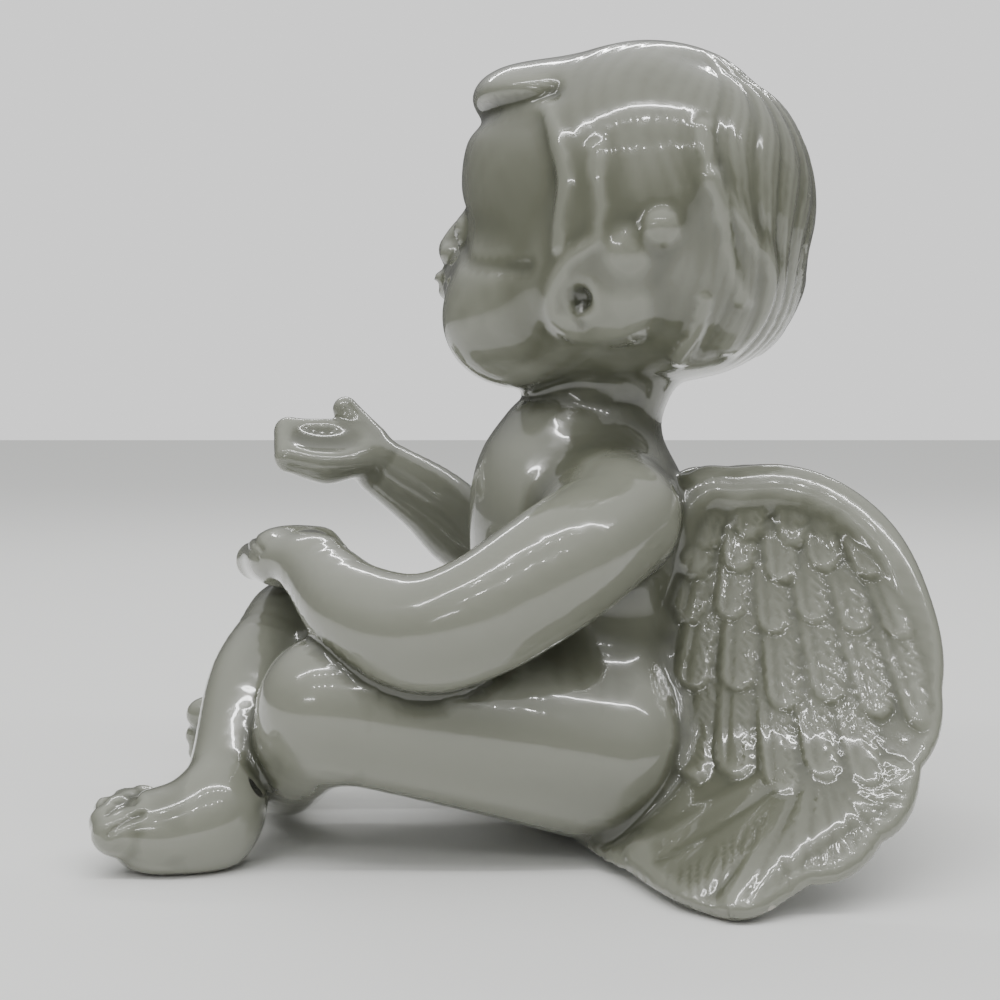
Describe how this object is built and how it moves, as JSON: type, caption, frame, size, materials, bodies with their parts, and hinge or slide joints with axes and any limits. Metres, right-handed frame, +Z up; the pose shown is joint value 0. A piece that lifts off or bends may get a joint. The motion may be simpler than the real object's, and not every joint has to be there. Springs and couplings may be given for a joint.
{
  "type": "porcelain cherub figurine",
  "caption": "Seated winged child figurine in white glazed porcelain, legs crossed, one palm held out, for a shelf or table.",
  "frame": {"origin": "centre of the bounding box on the surface the figurine sits on", "axes": "+Z up, the child faces -Y, its left side is +X"},
  "size_m": [0.1248, 0.1498, 0.1499],
  "materials": {
    "glaze": null
  },
  "bodies": {
    "root": {"figurine": "glaze"}
  },
  "joints": []
}
